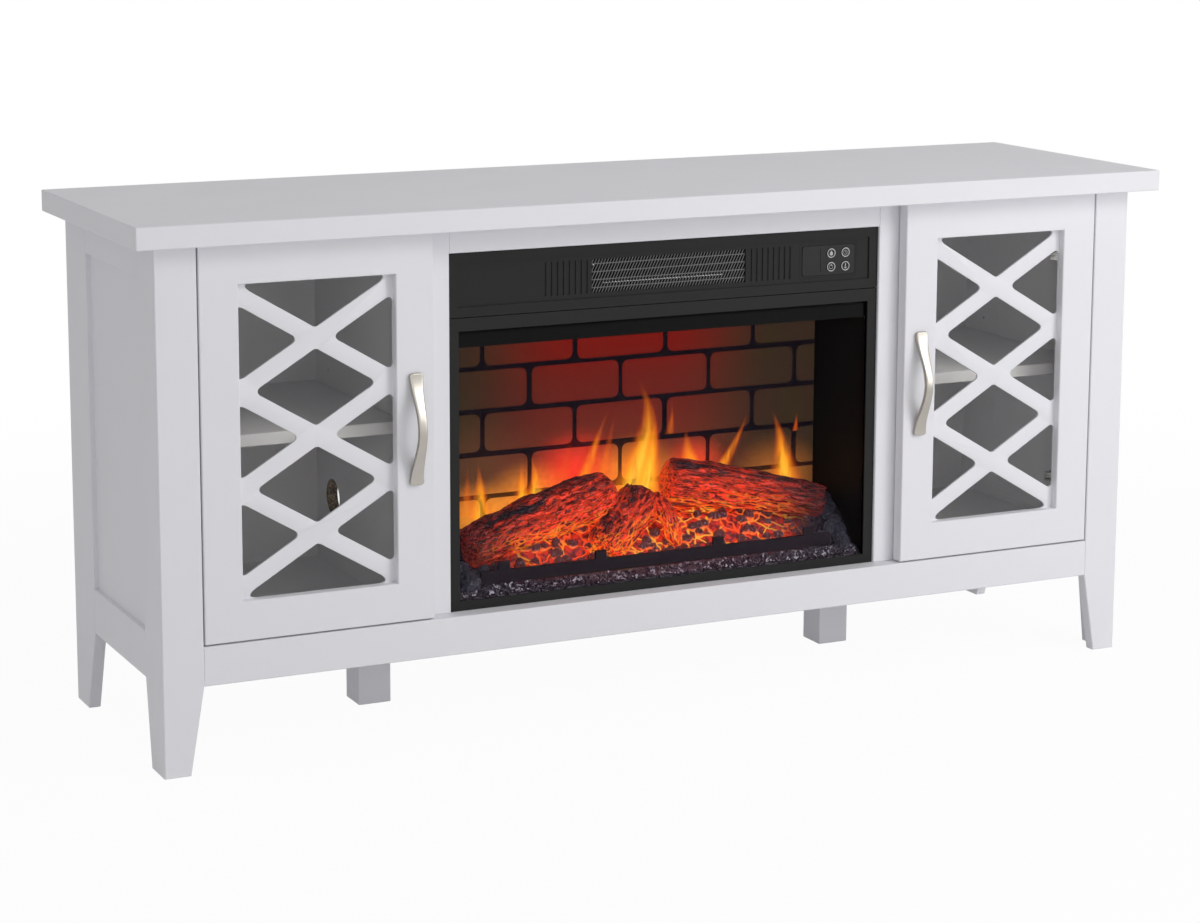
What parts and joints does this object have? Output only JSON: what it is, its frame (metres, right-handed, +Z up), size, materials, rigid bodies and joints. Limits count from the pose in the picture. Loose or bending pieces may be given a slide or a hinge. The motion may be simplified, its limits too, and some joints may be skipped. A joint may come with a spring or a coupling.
{
  "type": "media console with electric fireplace",
  "caption": "White media console on tapered legs, with a flame-effect electric heater in the middle and a glazed lattice door with a shelf bay on each side.",
  "frame": {"origin": "on the floor, under the middle of the top", "axes": "+X along the front to the right as seen from in front, +Y from front to back, +Z up"},
  "size_m": [1.473, 0.415, 0.69],
  "materials": {
    "white_paint": "satin white paint over board",
    "door_glass": "clear",
    "fire_glass": "clear",
    "satin_nickel": "satin",
    "plated_steel": "plated",
    "black_sheet": "satin black",
    "black_plastic": "matt black",
    "button_grey": "matt dark grey",
    "circuit_green": "lacquered",
    "brick_red": "printed brick",
    "log_resin": "painted bark",
    "ember_resin": "translucent coals",
    "bright_foil": "bright",
    "zinc_sheet": "zinc"
  },
  "bodies": {
    "cabinet": {"top_panel": "white_paint", "bottom_panel": "white_paint", "front_rail": "white_paint", "surround_stiles": "white_paint", "header_rail": "white_paint", "back_stretcher": "white_paint", "center_feet": "white_paint", "hinge_strips": "white_paint", "left_front_leg": "white_paint", "left_back_leg": "white_paint", "left_side_rails": "white_paint", "left_side_panel": "white_paint", "left_divider": "white_paint", "left_back_panel": "white_paint", "left_shelf": "white_paint", "right_front_leg": "white_paint", "right_back_leg": "white_paint", "right_side_rails": "white_paint", "right_side_panel": "white_paint", "right_divider": "white_paint", "right_back_panel": "white_paint", "right_shelf": "white_paint", "window_glass": "fire_glass", "hinge_arms": "plated_steel", "shelf_pins": "plated_steel", "insert_case": "black_sheet", "insert_back_cover": "black_sheet", "window_frame": "black_sheet", "upper_fascia": "black_sheet", "vent_mesh": "black_sheet", "firebox_liner": "black_sheet", "grate_bar": "black_sheet", "control_panel": "black_plastic", "mains_inlet": "black_plastic", "control_board": "circuit_green", "light_strip": "circuit_green", "brick_screen": "brick_red", "logs": "log_resin", "ember_bed": "ember_resin", "heater_element": "bright_foil", "blower_housing": "zinc_sheet", "blower_motor": "zinc_sheet", "spindle_motor": "zinc_sheet"},
    "left_door": {"left_door_frame": "white_paint", "left_door_lattice": "white_paint", "left_door_glass": "door_glass", "left_handle": "satin_nickel", "left_hinge_cups": "plated_steel"},
    "right_door": {"right_door_frame": "white_paint", "right_door_lattice": "white_paint", "right_door_glass": "door_glass", "right_handle": "satin_nickel", "right_hinge_cups": "plated_steel"},
    "power_key": {"power_button": "button_grey"},
    "heat_key": {"heat_button": "button_grey"},
    "flame_key": {"flame_button": "button_grey"},
    "timer_key": {"timer_button": "button_grey"},
    "flame_rotor": {"flame_spindle": "bright_foil"},
    "blower_rotor": {"blower_wheel": "bright_foil"}
  },
  "joints": [
    {"name": "left_door_hinge", "type": "hinge", "parent": "cabinet", "child": "left_door", "pos_m": [-0.62482, -0.1675, 0.412], "axis": [0, 0, -1], "range_deg": [0, 95]},
    {"name": "right_door_hinge", "type": "hinge", "parent": "cabinet", "child": "right_door", "pos_m": [0.62482, -0.1675, 0.412], "axis": [0, 0, 1], "range_deg": [0, 95]},
    {"name": "power_press", "type": "slide", "parent": "cabinet", "child": "power_key", "axis": [0, 1, 0], "range_m": [0, 0.001], "stiffness_N_per_m": 600},
    {"name": "heat_press", "type": "slide", "parent": "cabinet", "child": "heat_key", "axis": [0, 1, 0], "range_m": [0, 0.001], "stiffness_N_per_m": 600},
    {"name": "flame_press", "type": "slide", "parent": "cabinet", "child": "flame_key", "axis": [0, 1, 0], "range_m": [0, 0.001], "stiffness_N_per_m": 600},
    {"name": "timer_press", "type": "slide", "parent": "cabinet", "child": "timer_key", "axis": [0, 1, 0], "range_m": [0, 0.001], "stiffness_N_per_m": 600},
    {"name": "flame_spin", "type": "hinge", "parent": "cabinet", "child": "flame_rotor", "pos_m": [0, 0.014, 0.224], "axis": [1, 0, 0], "continuous": true},
    {"name": "blower_spin", "type": "hinge", "parent": "cabinet", "child": "blower_rotor", "pos_m": [0, -0.095, 0.5861], "axis": [1, 0, 0], "continuous": true}
  ]
}
